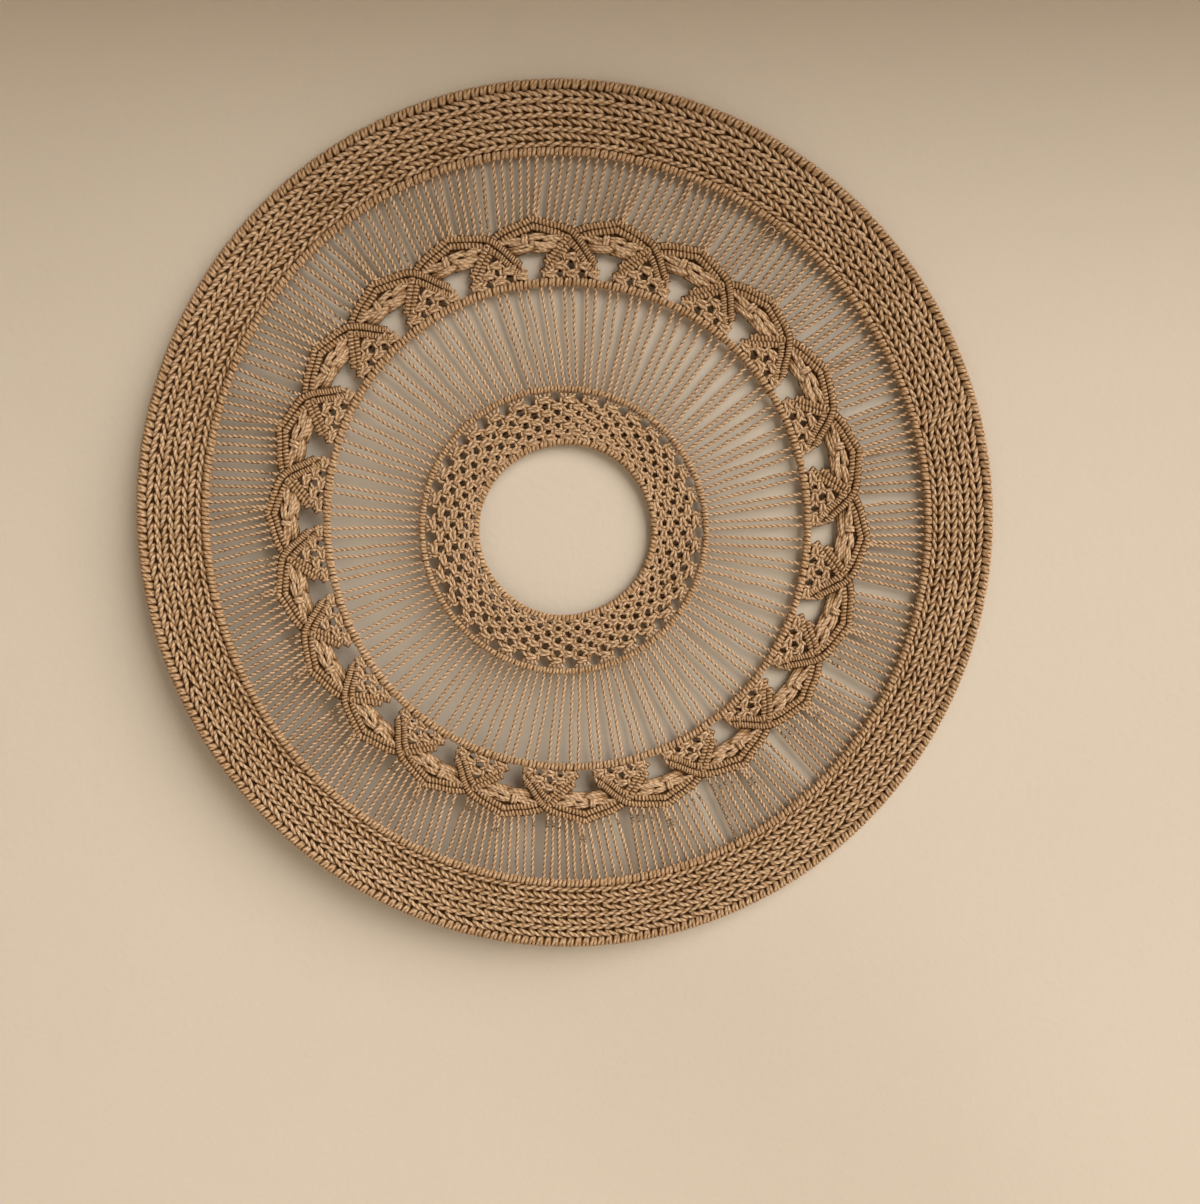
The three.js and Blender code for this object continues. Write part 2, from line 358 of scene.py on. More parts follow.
# Painted shade for the dark core seen between hitches, rows and stitches
CORE_PAINTED_SHADE = (0.21, 0.10, 0.032, 1.0)
SHEEN_TINT = (1.0, 0.74, 0.48, 1.0)
YARN = (0.09, 9.0, 7.0)  # how fast the yarns change along a cord, round it and from one length to the next
FLUFF = (0.55, 22.0, 3.0)  # the same for the fibres


def cord_finish(name, groove_shade=0.75):
    """Two-ply cotton: grooves and fibres follow the twist in the UV map, each length has its own tint; shade
    in the grooves and deep places and highlights on the crowns are painted.
    """
    made = Finish(name)
    twist = made.node("ShaderNodeUVMap", {"uv_map": "twist"})
    along = made.node("ShaderNodeSeparateXYZ", None, {0: twist}, output=0)
    round_it = Term(made, along.socket.node.outputs[1])
    tint = made.node("ShaderNodeAttribute", {"attribute_name": "tint"}, output="Fac")
    painted_shade = made.node("ShaderNodeAttribute", {"attribute_name": "painted_shade"}, output="Fac")
    crown = abs((round_it * 2.0).fraction() - 0.5) * 2.0
    dip = 1.0 - crown
    lobe = 1.0 - dip * dip

    def strands(speed, detail, roughness):
        spot = {0: along * speed[0], 1: round_it * speed[1], 2: tint * speed[2]}
        vector = made.node("ShaderNodeCombineXYZ", None, spot)
        inputs = {"Vector": vector, "Scale": 1.0, "Detail": detail, "Roughness": roughness}
        return made.node("ShaderNodeTexNoise", {"noise_dimensions": "3D"}, inputs)

    yarn = strands(YARN, 2.0, 0.6)
    fluff = strands(FLUFF, 3.0, 0.7)
    place = made.place()
    cloud = made.node("ShaderNodeTexNoise", None, {"Vector": place, "Scale": 9.0, "Detail": 3.0})
    patch = made.node("ShaderNodeTexNoise", None, {"Vector": place, "Scale": 70.0, "Detail": 2.0})

    # Tone differs at random along and between lengths, and is painted darker where the work lies deep
    tone = 0.38 - painted_shade * 0.9 + tint * 0.07
    tone = tone + (cloud - 0.5) * 0.55 + (patch - 0.5) * 0.25 + (yarn - 0.5) * 0.9
    body = made.blend(tone.clamped(), CORD_MID, CORD_PALE)
    # Painted highlight on the crowns of the plies, kept off deep places
    highlighted = made.blend(((fluff - 0.43) * 3.2 * lobe - painted_shade).clamped(), body, CORD_PAINTED_HIGHLIGHT)
    # Painted shade in the ply grooves and where the work lies deep
    shade_share = (dip * dip * dip * groove_shade + painted_shade * (0.4 + 0.6 * painted_shade)).clamped()
    colour = made.blend(shade_share, highlighted, CORD_PAINTED_SHADE)

    height = lobe + (yarn - 0.5) * 0.5 + (fluff - 0.5) * 0.45
    bump = made.node("ShaderNodeBump", None, {"Strength": 0.6, "Distance": 0.0007, "Height": height})
    rough = 0.93 - fluff * 0.12
    inputs = {
        "Base Color": colour,
        "Roughness": rough,
        "Normal": bump,
        "Specular IOR Level": 0.1,
        "Sheen Weight": 0.03,
        "Sheen Roughness": 0.45,
        "Sheen Tint": SHEEN_TINT,
    }
    return made.close(made.node("ShaderNodeBsdfPrincipled", None, inputs))


def core_finish(name):
    """The wound cord deep inside the hoops and rows, seen only as dark seams; its dark colour is painted
    shade.
    """
    made = Finish(name)
    place = made.place()
    grain = made.node("ShaderNodeTexNoise", None, {"Vector": place, "Scale": 900.0, "Detail": 3.0})
    colour = made.blend(grain, CORD_PAINTED_SHADE, CORE_PAINTED_SHADE)
    bump = made.node("ShaderNodeBump", None, {"Strength": 0.5, "Distance": 0.0005, "Height": grain})
    inputs = {"Base Color": colour, "Roughness": 0.95, "Normal": bump, "Specular IOR Level": 0.2}
    return made.close(made.node("ShaderNodeBsdfPrincipled", None, inputs))


hoop_cord = cord_finish("hoop cord", 0.25)
spoke_cord = cord_finish("spoke cord")
chain_cord = cord_finish("chain cord", 0.5)
petal_cord = cord_finish("petal cord")
row_cord = cord_finish("row cord", 0.25)
knot_cord = cord_finish("knot cord", 0.4)
net_cord = cord_finish("net cord", 0.4)
core_cord = core_finish("core cord")


# Hoops covered with pairs of hitches

# Lean of the hitches, side and depth of the notch that closes their pairs, and stops round a hitch
HOOP_COVERS = {
    "rim": (0.9, -1, 0.24, 10),
    "chain": (0.5, 1, 0.05, 10),
    "petal": (0.3, 1, 0.05, 10),
    "spoke": (0.2, -1, 0.02, 10),
    "eye": (0.4, 1, 0.10, 12),
}
HITCH_HALF = 1.3  # half the thickness of a hitch on a tube of HITCH_TUBE
HITCH_TUBE = 4.1
HITCH_PRESS = 1.06  # hitches overlap a little
PAIR_CLOSING = 0.04  # of the pitch, all round
HOOP_EDGE = 0.78  # shade between the hitches
WINDING_SPREAD = 0.025  # share of the winding by which hitches differ
LEAN_SPREAD = 0.16
PLACE_SPREAD = 0.045  # of the pitch
WIDTH_SPREAD = 0.05  # share of the width
CORE_SHARE = 0.62  # of the tube's radius
CORE_SIDES = 8


def wound(stops):
    """Angles round a hitch, from its back."""
    return np.radians(-90 + 360 * np.arange(stops) / stops)[None, :]


def cover_hoop(name, slot, node, slant, notch, pinch, stops):
    """Hitches wound side by side over a core painted dark as shade."""
    centre, tube, hitches, height = HOOPS[name]
    number = np.arange(hitches)
    pitch = 2 * np.pi * centre / hitches
    pair = np.where(number % 2 == 0, 1.0, -1.0)[:, None]
    half_height = HITCH_HALF * tube / HITCH_TUBE
    wind = wound(stops)
    winding = (tube - half_height) * (1 + hand.normal(0, WINDING_SPREAD, (hitches, 1)))
    closing = pair * pitch * (PAIR_CLOSING + pinch * np.clip(notch * np.cos(wind), 0, 1))
    lean = (slant + hand.normal(0, LEAN_SPREAD, (hitches, 1))) * np.cos(wind)
    drift = closing + lean + hand.normal(0, PLACE_SPREAD * pitch, (hitches, 1))
    degrees = 360 * (number[:, None] + 0.5) / hitches + np.degrees(drift / centre)
    paths = at(centre + winding * np.cos(wind), degrees, height + winding * np.sin(wind))
    middle = at(centre, degrees, height)
    width = pitch / 2 * HITCH_PRESS * (1 + hand.normal(0, WIDTH_SPREAD, (hitches, 1)))
    work = CordWork()
    work.lay(paths, width, half_height, HITCH, front=unit(paths - middle), closed=True, edge=HOOP_EDGE)
    work.piece(f"{name}_hitches", hoop_cord, slot, node)
    core = CORE_SHARE * tube
    angles = np.radians(range(0, 360, 360 // CORE_SIDES))
    ring = [(centre + core * math.cos(angle), height + core * math.sin(angle)) for angle in angles]
    spun_ring(f"{name}_core", ring, core_cord, slot, node)


for hoop, cover in HOOP_COVERS.items():
    cover_hoop(hoop, "hoop_cord", f"hoop_{hoop}", *cover)


# Chain stitches: one spiral of four turns, which steps in by a row at the seam

STITCHES = 260  # to a turn
CHAIN_TURNS = 4
CHAIN_SEAM = 75.0  # degrees
SEAM_REACH = 4.0 / 360  # share of a turn over which a row steps in
LEAD = 2  # stitches at each end of the spiral that tuck under a hoop
TUCK = 2.1  # mm further under for each of them
ROW_OUTER = 336.3  # radius of the outermost turn
ROW_PITCH = 10.45  # from one turn to the next
STITCH_ARMS = (  # (stitches, outwards, front)
    ((-0.86, 5.2, -0.8), (-0.52, 4.4, 1.0), (0.0, 2.9, 2.1), (0.50, 1.45, 1.8), (0.80, 0.6, -0.3)),
    ((-0.86, -4.8, -0.8), (-0.52, -4.1, 1.0), (0.0, -2.85, 2.0), (0.50, -1.6, 1.8), (0.80, -0.9, -0.3)),
)
STITCH_STOPS = 6
STITCH_HALF = (1.62, 1.55)  # half the width and height of an arm
STITCH_SHADE = (0.3, 2.8)
STITCH_SHAKE = (0.035, 0.25, 0.2)  # stitches, outwards, front
CHAIN_DISH = 0.015  # the band rises this much to the rim
CHAIN_MIDDLE = 320.0
PURL = ((-0.46, -0.9), (-0.18, -2.3), (0.18, -2.3), (0.46, -0.9))  # (share of the pitch, front)
PURL_HALF = (2.6, 1.3)
PURL_SLANT = 0.5
PURL_REACH = 0.95
PURL_SPREAD = 0.04  # stitches
CHAIN_BED = ((298.0, 0.1), (344.0, 0.1), (344.0, -1.4), (298.0, -1.4))  # (radius, front); the sheet's dark colour is painted shade in the pits between the stitches


def row_radius(stitch):
    turn = np.clip(np.floor(stitch / STITCHES), 0, CHAIN_TURNS - 1)
    share = stitch / STITCHES - turn
    step_in = smoothstep((share - 1 + SEAM_REACH) / SEAM_REACH) * (turn < CHAIN_TURNS - 1)
    tucked = np.clip(-stitch, 0, LEAD) - np.clip(stitch - CHAIN_TURNS * STITCHES + 1 + LEAD, 0, LEAD)
    return ROW_OUTER - ROW_PITCH * (turn + step_in) + TUCK * tucked


def chain_stitches():
    number = np.arange(-LEAD, CHAIN_TURNS * STITCHES - 1, dtype=float)[:, None]
    work = CordWork()
    for arm in STITCH_ARMS:
        route = np.array(arm)
        shake = hand.normal(0, 1, (len(number), 3))
        stitch = number + route[:, 0] + STITCH_SHAKE[0] * shake[:, :1]
        radius = row_radius(stitch) + route[:, 1] + STITCH_SHAKE[1] * shake[:, 1:2]
        front = route[:, 2] + STITCH_SHAKE[2] * shake[:, 2:] + CHAIN_DISH * (radius - CHAIN_MIDDLE)
        points = at(radius, CHAIN_SEAM + stitch * 360 / STITCHES, front)
        width = STITCH_HALF[0] * (1 + hand.normal(0, WIDTH_SPREAD, (len(number), 1)))
        work.lay(through(points, STITCH_STOPS), width, STITCH_HALF[1], SIX_SIDED, deep=STITCH_SHADE)
    work.piece("chain_stitches", chain_cord, "chain_cord", "chain_band")

    back = CordWork()
    route = np.array(PURL)
    stitch = number + hand.normal(0, PURL_SPREAD, (len(number), 1)) + PURL_SLANT * route[:, 0]
    across = PURL_REACH * ROW_PITCH * route[:, 0]
    front = np.broadcast_to(route[:, 1], stitch.shape)
    points = at(row_radius(stitch) + across, CHAIN_SEAM + stitch * 360 / STITCHES, front)
    back.lay(points, *PURL_HALF, HITCH_SLIM, front=-FRONT)
    back.piece("chain_back", chain_cord, "chain_cord", "chain_band")
    spun_ring("chain_bed", CHAIN_BED, core_cord, "chain_cord", "chain_band")


chain_stitches()


# Scalloped band: four rows of hitches cross between each petal and the next

DRIFT = 1.89  # degrees by which the petals close up on one side
DRIFT_FROM = 51.7
SQUEEZE = 0.46  # degrees by which they close up on two sides
CROSSING_SHIFT = 0.35  # degrees


def window_angle(petal):
    """Middle of a petal's window; half numbers lie between petals."""
    even = PETAL_START + np.asarray(petal, float) * 360 / PETALS
    return even - DRIFT * np.cos(np.radians(even - DRIFT_FROM)) + SQUEEZE * np.cos(np.radians(2 * even))


def crossing(petal):
    """Where the rows cross after a petal, and half the way between two windows, in degrees."""
    here = window_angle(petal)
    after = window_angle(petal + 1)
    return (here + after) / 2 - CROSSING_SHIFT, (after - here) / 2


# Rows as (share of the half way from the crossing, radius) and the heights at some shares
ROWS = {
    "falling_outer": (
        ((-0.93, 245.2), (-0.84, 243.8), (-0.75, 242.6), (-0.60, 241.1), (-0.45, 239.5),
         (-0.30, 238.2), (-0.15, 236.6), (-0.03, 234.8), (0.10, 231.6), (0.20, 228.4),
         (0.30, 224.6), (0.42, 219.8), (0.50, 216.8), (0.66, 211.6)),
        ((-0.93, 1.0), (-0.2, 0.9), (0.0, 2.0), (0.15, 1.7), (0.6, 0.9)),
    ),
    "falling_inner": (
        ((-0.94, 238.9), (-0.75, 236.9), (-0.60, 235.5), (-0.45, 233.9), (-0.30, 232.4),
         (-0.20, 231.0), (-0.10, 229.1), (0.00, 226.4), (0.10, 223.2), (0.20, 219.6),
         (0.30, 215.6), (0.42, 211.2), (0.55, 207.4), (0.74, 203.6)),
        ((-0.94, 0.9), (-0.35, 0.8), (-0.2, 0.0), (-0.05, 0.1), (0.08, 1.2), (0.3, 1.0), (0.7, 0.7)),
    ),
    "rising_outer": (
        ((-0.70, 211.8), (-0.60, 213.6), (-0.50, 216.4), (-0.40, 219.6), (-0.30, 222.8),
         (-0.20, 226.0), (-0.10, 229.0), (0.00, 231.8), (0.08, 233.8), (0.17, 235.4),
         (0.30, 237.1), (0.50, 239.1), (0.70, 240.6), (0.90, 242.4), (1.09, 245.0)),
        ((-0.7, 0.9), (-0.25, 1.3), (-0.1, 1.0), (0.04, -0.6), (0.16, -0.2), (0.36, 0.9), (1.1, 0.6)),
    ),
    "rising_inner": (
        ((-0.80, 204.2), (-0.60, 208.0), (-0.50, 210.2), (-0.40, 213.0), (-0.30, 216.3),
         (-0.20, 219.6), (-0.10, 222.6), (0.00, 225.4), (0.10, 228.0), (0.20, 229.9),
         (0.30, 231.4), (0.50, 233.5), (0.70, 235.1), (0.90, 236.8), (1.09, 239.0)),
        ((-0.76, 0.7), (-0.2, 0.8), (-0.03, -0.3), (0.14, -0.8), (0.28, -0.1), (0.45, 0.9), (1.09, 0.6)),
    ),
}
ROW_HALF = 3.0  # half the width of a row over its hitches
ROW_RISE = 2.5  # from the row's middle up to the crown of its hitches
ROW_THICK = 1.05  # half the thickness of a hitch
ROW_PRESS = 1.05  # hitches overlap a little
ROW_LEAN = 0.45
ROW_LEAN_SPREAD = 0.15
ROW_SIDE = 0.7  # shade at the sides of a row
ROW_CROWN = 0.5  # sine of the angle round a hitch past which that shade has gone
ROW_EDGE = 0.74  # shade between its hitches
ROW_STOPS = 8
# Dark cores under the rows, painted shade in the gaps between them
ROW_CORE = (3.2, 1.2)
ROW_CORE_STOPS = 18
BEAD = 2.95  # pitch of the hitches
BEAD_SPREAD = 0.08
FINE_BEAD = 2.2  # pitch where the falling rows run down to the window
FINE_FROM = 0.02  # share from which it changes
FINE_REACH = 0.1  # share over which it changes
NEARBY = 1.0  # way to the places that give a row's direction


def row_route(row, petal, count=60):
    """Points (share, degrees, radius, front) along a row."""
    line, heights = ROWS[row]
    smooth = through(np.array(line), count)
    middle, half = crossing(petal)
    share = smooth[:, 0]
    degrees = middle + share * half
    front = np.interp(share, *np.array(heights).T)
    return share, degrees, smooth[:, 1], front


def row_at(row, petal, degrees):
    """Radius of a row's middle at some angles."""
    _, places, radius, _ = row_route(row, petal)
    return np.interp(degrees, places, radius)


def spots_on(line, length, spots):
    """Points at some lengths along a line."""
    return np.stack([np.interp(spots, length, line[:, axis]) for axis in range(3)], axis=-1)


def hitched_row(work, cores, row, petal):
    share, degrees, radius, front = row_route(row, petal)
    line = at(radius, degrees, front)
    length = np.append(0, np.cumsum(np.linalg.norm(np.diff(line, axis=0), axis=1)))
    fine = np.zeros_like(share)
    if row.startswith("falling"):
        fine = smoothstep((share - FINE_FROM) / FINE_REACH)
    pitch = BEAD + (FINE_BEAD - BEAD) * fine
    beads = np.append(0, np.cumsum(np.diff(length) / ((pitch[1:] + pitch[:-1]) / 2)))
    count = int(round(beads[-1]))
    wanted = (np.arange(count) + 0.5) * beads[-1] / count
    spot = np.interp(wanted, beads, length) + hand.normal(0, BEAD_SPREAD, count)
    centre = spots_on(line, length, spot)
    ahead = spots_on(line, length, spot + NEARBY)
    behind = spots_on(line, length, spot - NEARBY)
    tangent = unit(ahead - behind)[:, None, :]
    across = unit(np.cross(tangent, FRONT))
    up = np.cross(across, tangent)
    step = np.interp(spot, length, pitch)[:, None]
    size = 1 + hand.normal(0, SIZE_SPREAD, (count, 1))
    wind = wound(ROW_STOPS)
    sideways = ((ROW_HALF - ROW_THICK) * size * np.cos(wind))[..., None] * across
    upwards = ((ROW_RISE - ROW_THICK) * size * np.sin(wind))[..., None] * up
    lean = (ROW_LEAN + hand.normal(0, ROW_LEAN_SPREAD, (count, 1))) * np.cos(wind)
    paths = centre[:, None, :] + sideways + upwards + lean[..., None] * tangent
    side = ROW_SIDE - ROW_SIDE * np.clip(np.abs(np.sin(wind)) / ROW_CROWN, 0, 1)
    work.lay(
        paths,
        step / 2 * ROW_PRESS,
        ROW_THICK,
        HITCH_SLIM,
        front=unit(sideways + upwards),
        closed=True,
        painted_shade=side[..., None],
        edge=ROW_EDGE,
    )
    core = spots_on(line, length, np.linspace(0, length[-1], ROW_CORE_STOPS))
    cores.lay(core[None], *ROW_CORE, HITCH_SLIM)


def scalloped_rows():
    cores = CordWork()
    for way in ("falling", "rising"):
        work = CordWork()
        for petal in range(PETALS):
            for row in (f"{way}_outer", f"{way}_inner"):
                hitched_row(work, cores, row, petal)
        work.piece(f"{way}_rows", row_cord, "petal_cord", "petal_band")
    cores.piece("row_cores", core_cord, "petal_cord", "petal_band")


scalloped_rows()


# The loose knot above each window, as (degrees from the window, radius, front)
LOOSE_KNOT = (
    ((-6.0, 231.5, -0.6), (-4.3, 231.0, 0.6), (-2.9, 230.3, 1.0), (-1.85, 229.8, 0.6), (-1.0, 230.0, -0.2)),
    ((-5.6, 229.5, -0.6), (-4.15, 229.1, 0.6), (-2.85, 228.6, 1.0), (-1.85, 228.5, 0.6), (-1, 228.8, -0.2)),
    ((-4.9, 227.6, -0.6), (-3.6, 227.2, 0.6), (-2.6, 227.0, 1.0), (-1.7, 227.2, 0.6), (-0.9, 227.9, -0.2)),
    ((-1.0, 231.5, 0.0), (-0.1, 231.9, 1.6), (0.95, 232.3, 1.8), (2.0, 232.5, 0.7), (2.8, 232.5, -0.5)),
    ((-0.9, 229.5, 0.0), (0.1, 229.8, 1.8), (1.15, 230.2, 2.0), (2.2, 230.0, 0.9), (3.1, 229.5, -0.3)),
    ((1.9, 229.3, -0.1), (2.75, 230.1, 1.6), (3.8, 231.0, 1.7), (5.2, 231.6, 0.9), (6.9, 231.5, -0.6)),
    ((2.0, 227.9, -0.1), (2.9, 228.4, 1.5), (4.15, 228.9, 1.6), (5.6, 229.1, 0.7), (6.9, 228.9, -0.6)),
    ((-0.8, 228.2, -0.1), (0.0, 227.7, 1.7), (1.0, 226.3, 2.3), (2.4, 225.7, 1.8), (4.65, 227.1, 0.6)),
    ((-0.6, 226.4, -0.2), (0.25, 226.0, 1.7), (1.2, 224.5, 2.2), (2.6, 223.9, 1.5), (4.9, 225.3, -0.2)),
    ((-5.6, 225.3, -0.6), (-3.5, 224.6, 0.9), (-1.7, 224.7, 1.6), (-0.6, 225.3, 1.0), (0.1, 226.0, -0.2)),
    ((-5.2, 222.9, -0.6), (-3.3, 222.4, 0.7), (-1.5, 222.6, 1.4), (-0.45, 223.7, 0.9), (0.25, 224.9, -0.3)),
    ((-4.7, 220.5, -0.6), (-2.9, 220.7, 0.5), (-1.35, 221.4, 1.0), (-0.25, 222.6, 0.6), (0.4, 223.7, -0.4)),
    ((0.3, 223.4, -0.2), (1.15, 222.5, 1.0), (2.1, 221.4, 1.0), (3.1, 220.1, 0.0), (3.8, 219.4, -0.7)),
    ((3.4, 227.0, -0.1), (4.6, 227.7, 1.0), (5.6, 228.8, 0.9), (6.7, 230.0, 0.3), (7.5, 230.9, -0.5)),
    ((-7.4, 230.6, -0.5), (-6.4, 229.8, 0.5), (-5.2, 229.1, 0.8), (-4.2, 228.4, 0.5), (-3.2, 227.9, -0.3)),
    ((-0.5, 221.0, -0.2), (0.6, 220.7, 0.9), (1.8, 220.4, 1.1), (3.0, 220.4, 0.7), (4.2, 221.2, -0.3)),
    ((0.9, 224.0, 0.0), (2.2, 223.0, 1.3), (3.4, 222.7, 1.4), (4.6, 223.4, 0.8), (5.6, 224.8, -0.2)),
)
LOOSE_STOPS = 12
LOOSE_HALF = (1.6, 1.35, 1.5)  # half the width of every second strand and of the others, half the height
LOOSE_LIFT = 0.3  # every second strand lies this much to the front, the others to the back
LOOSE_SHADE = (-0.1, 2.4)
LOOSE_SPREAD = (0.08, 0.2, 0.12)  # degrees, radius, front
WINDOW_SIDES = (
    ((2.8, 218.0, 0.2), (2.55, 213.5, 0.6), (2.45, 209.5, 0.5), (2.3, 205.5, 0.3), (2.2, 202.0, -0.2)),
    ((-3.6, 217.5, 0.2), (-3.15, 213.0, 0.6), (-2.85, 209.5, 0.5), (-2.6, 205.5, 0.3), (-2.45, 202.0, -0.2)),
)
SIDE_STOPS = 7
SIDE_HALF = (1.45, 1.4)
SIDE_SHADE = (-1.6, 2.0)
KNOT_WRAPS = (-1.85, -1.25)  # degrees from the window
WRAP_ROUTE = (
    (-0.1, 225.4, 0.2),
    (-0.05, 227.0, 2.8),
    (0.0, 229.2, 3.6),
    (0.05, 231.4, 2.9),
    (0.1, 233.0, 0.4),
)
WRAP_STOPS = 11
WRAP_HALF = (1.45, 1.5)
WRAP_SHADE = (0.6, 3.0)
WRAP_SPREAD = 0.06  # degrees
UNDER_CORDS = 5  # behind the loose knot
UNDER_SPREAD = (4.8, 0.6)  # degrees for the first cord, and more for each after it
UNDER_RADIUS = (223.2, 2.8)
UNDER_FRONT = -0.7
UNDER_HALF = (1.5, 1.2)
UNDER_SHADE = (0.6, 0.9, 0.6, 0.0)


def loose_knots():
    work = CordWork()
    for petal in range(PETALS):
        middle = window_angle(petal)
        routes = np.array(LOOSE_KNOT)
        degrees = middle + routes[..., 0] + hand.normal(0, LOOSE_SPREAD[0], routes.shape[:2])
        radius = routes[..., 1] + hand.normal(0, LOOSE_SPREAD[1], routes.shape[:2])
        stout = np.arange(len(routes))[:, None] % 2 == 0
        lift = np.where(stout, LOOSE_LIFT, -LOOSE_LIFT)
        front = routes[..., 2] + lift + hand.normal(0, LOOSE_SPREAD[2], routes.shape[:2])
        points = through(at(radius, degrees, front), LOOSE_STOPS)
        width = np.where(stout, LOOSE_HALF[0], LOOSE_HALF[1])
        work.lay(points, width, LOOSE_HALF[2], SIX_SIDED, deep=LOOSE_SHADE)
        wraps = np.array(WRAP_ROUTE)
        shake = hand.normal(0, WRAP_SPREAD, (len(KNOT_WRAPS), 1))
        degrees = middle + np.array(KNOT_WRAPS)[:, None] + wraps[:, 0] + shake
        points = at(wraps[:, 1], degrees, wraps[:, 2])
        work.lay(through(points, WRAP_STOPS), *WRAP_HALF, SIX_SIDED, deep=WRAP_SHADE)
        under = np.arange(UNDER_CORDS)[:, None]
        spread = (UNDER_SPREAD[0] + UNDER_SPREAD[1] * under) * np.array([-1.0, 0.0, 1.0])
        points = at(UNDER_RADIUS[0] + UNDER_RADIUS[1] * under, middle + spread, UNDER_FRONT)
        work.lay(points, *UNDER_HALF, HITCH_SLIM, painted_shade=UNDER_SHADE)
        sides = np.array(WINDOW_SIDES)
        points = at(sides[..., 1], middle + sides[..., 0], sides[..., 2])
        work.lay(through(points, SIDE_STOPS), *SIDE_HALF, SIX_SIDED, deep=SIDE_SHADE)
    work.piece("loose_knots", knot_cord, "petal_cord", "petal_band")


loose_knots()


# Square knots as (sideways, upwards, front): two bars and an ear over a core, arms to the knots above and
# below, and flatter bars at the back
KNOT_PITCH = 18.0  # between the knots of one row, for these routes
KNOT_BARS = (
    ((-4.4, 0.3, 0.6), (-2.3, 0.9, 2.1), (0.2, 1.5, 2.6), (2.6, 2.1, 2.1), (4.4, 2.6, 0.6)),
    ((-4.3, -0.5, 0.6), (-2.2, -1.0, 2.1), (0.4, -1.5, 2.6), (2.9, -1.9, 2.1), (4.8, -2.3, 0.6)),
)
KNOT_EAR = (((-4.3, 2.8, -0.2), (-5.2, 1.7, 1.2), (-5.5, 0.0, 1.9), (-5.2, -1.7, 1.2), (-4.3, -2.8, -0.2)),)
KNOT_ARMS = (
    ((2.5, 0.9, 1.0), (4.9, 0.7, 1.7), (6.3, 1.7, 1.5), (8.4, 3.9, 0.5)),
    ((2.5, -0.7, 1.0), (4.9, -0.6, 1.7), (6.3, -1.7, 1.5), (8.4, -3.9, 0.5)),
    ((-2.5, 0.9, 0.0), (-5.0, 0.8, 0.3), (-6.4, 1.8, 0.4), (-8.4, 3.9, 0.2)),
    ((-2.5, -0.9, 0.0), (-5.0, -0.8, 0.3), (-6.4, -1.8, 0.4), (-8.4, -3.9, 0.2)),
)
KNOT_CORE = (((-4.5, 0.0, 0.5), (-1.5, 0.0, 1.3), (2.0, 0.2, 1.4), (5.2, 0.2, 0.8)),)
BAR_STOPS = 6
BAR_HALF = (1.32, 1.3)
BAR_SHADE = (0.2, 2.9)
EAR_HALF = (1.2, 1.25)
EAR_SHADE = (-0.2, 2.4)
ARM_STOPS = 5
ARM_HALF = (1.22, 1.2)
ARM_SHADE = (-0.6, 2.4)
CORE_HALF = (1.5, 1.1)
CORE_SHADE = (0.0, 3.2)
BACK_FLIP = -0.8  # front of the back bars for each millimetre of the front bars
BACK_HALF = (2.3, 1.2)
BACK_SHADE = (0.7, 0.0, 0.7, 1.0)
TILT_SPREAD = 4  # degrees
KNOT_SPREAD = 0.14  # of the points of a knot


def square_knots(work, degrees, radius, pitch, tall, first_arm=0, reach=np.inf):
    """Knots at some places, fitted to the pitch of their row and stretched to tall.

    first_arm 1 leaves out the upper arms, and reach limits how far each knot goes to its left and right.
    """
    degrees, radius = np.broadcast_arrays(degrees, radius)
    count = len(degrees)
    tilt = np.radians(hand.normal(0, TILT_SPREAD, (count, 1, 1)))
    size = hand.normal(1, SIZE_SPREAD, (count, 1, 1))
    reach = np.broadcast_to(reach, (count, 2))[:, :, None, None]

    def placed(routes, flip=1.0):
        routes = np.array(routes)
        local = routes[None] + hand.normal(0, KNOT_SPREAD, (count, *routes.shape))
        sideways = np.clip(local[..., 0] * size * pitch / KNOT_PITCH, -reach[:, 0], reach[:, 1])
        upwards = local[..., 1] * size * tall
        x = sideways * np.cos(tilt) - upwards * np.sin(tilt)
        z = sideways * np.sin(tilt) + upwards * np.cos(tilt)
        r = radius[:, None, None] + z
        points = at(r, degrees[:, None, None] + np.degrees(x / r), flip * local[..., 2])
        return points.reshape(-1, routes.shape[1], 3)

    work.lay(through(placed(KNOT_BARS), BAR_STOPS), *BAR_HALF, SIX_SIDED, deep=BAR_SHADE)
    work.lay(through(placed(KNOT_EAR), BAR_STOPS), *EAR_HALF, SIX_SIDED, deep=EAR_SHADE)
    work.lay(through(placed(KNOT_ARMS[first_arm:2]), ARM_STOPS), *ARM_HALF, SIX_SIDED, deep=ARM_SHADE)
    work.lay(placed(KNOT_ARMS[2 + first_arm:]), *ARM_HALF, HITCH_SLIM, deep=ARM_SHADE)
    work.lay(placed(KNOT_CORE), *CORE_HALF, HITCH_SLIM, deep=CORE_SHADE)
    work.lay(placed(KNOT_BARS, BACK_FLIP), *BACK_HALF, HITCH_SLIM, front=-FRONT, painted_shade=BACK_SHADE)


# Degrees from the crossing, radius, and reach to the left and right, which stops short of the windows
TRIANGLE_KNOTS = (
    (0.0, 215.4, 9.0, 9.0),
    (-2.4, 209.4, 9.0, 9.0),
    (2.4, 209.3, 9.0, 9.0),
    (-4.8, 203.5, 4.4, 9.0),
    (0.0, 203.6, 9.0, 9.0),
    (4.9, 203.4, 9.0, 4.4),
)
TRIANGLE_PITCH = 16.8
TRIANGLE_TALL = 1.1
TRIANGLE_SPREAD = (0.12, 0.25)  # degrees, radius


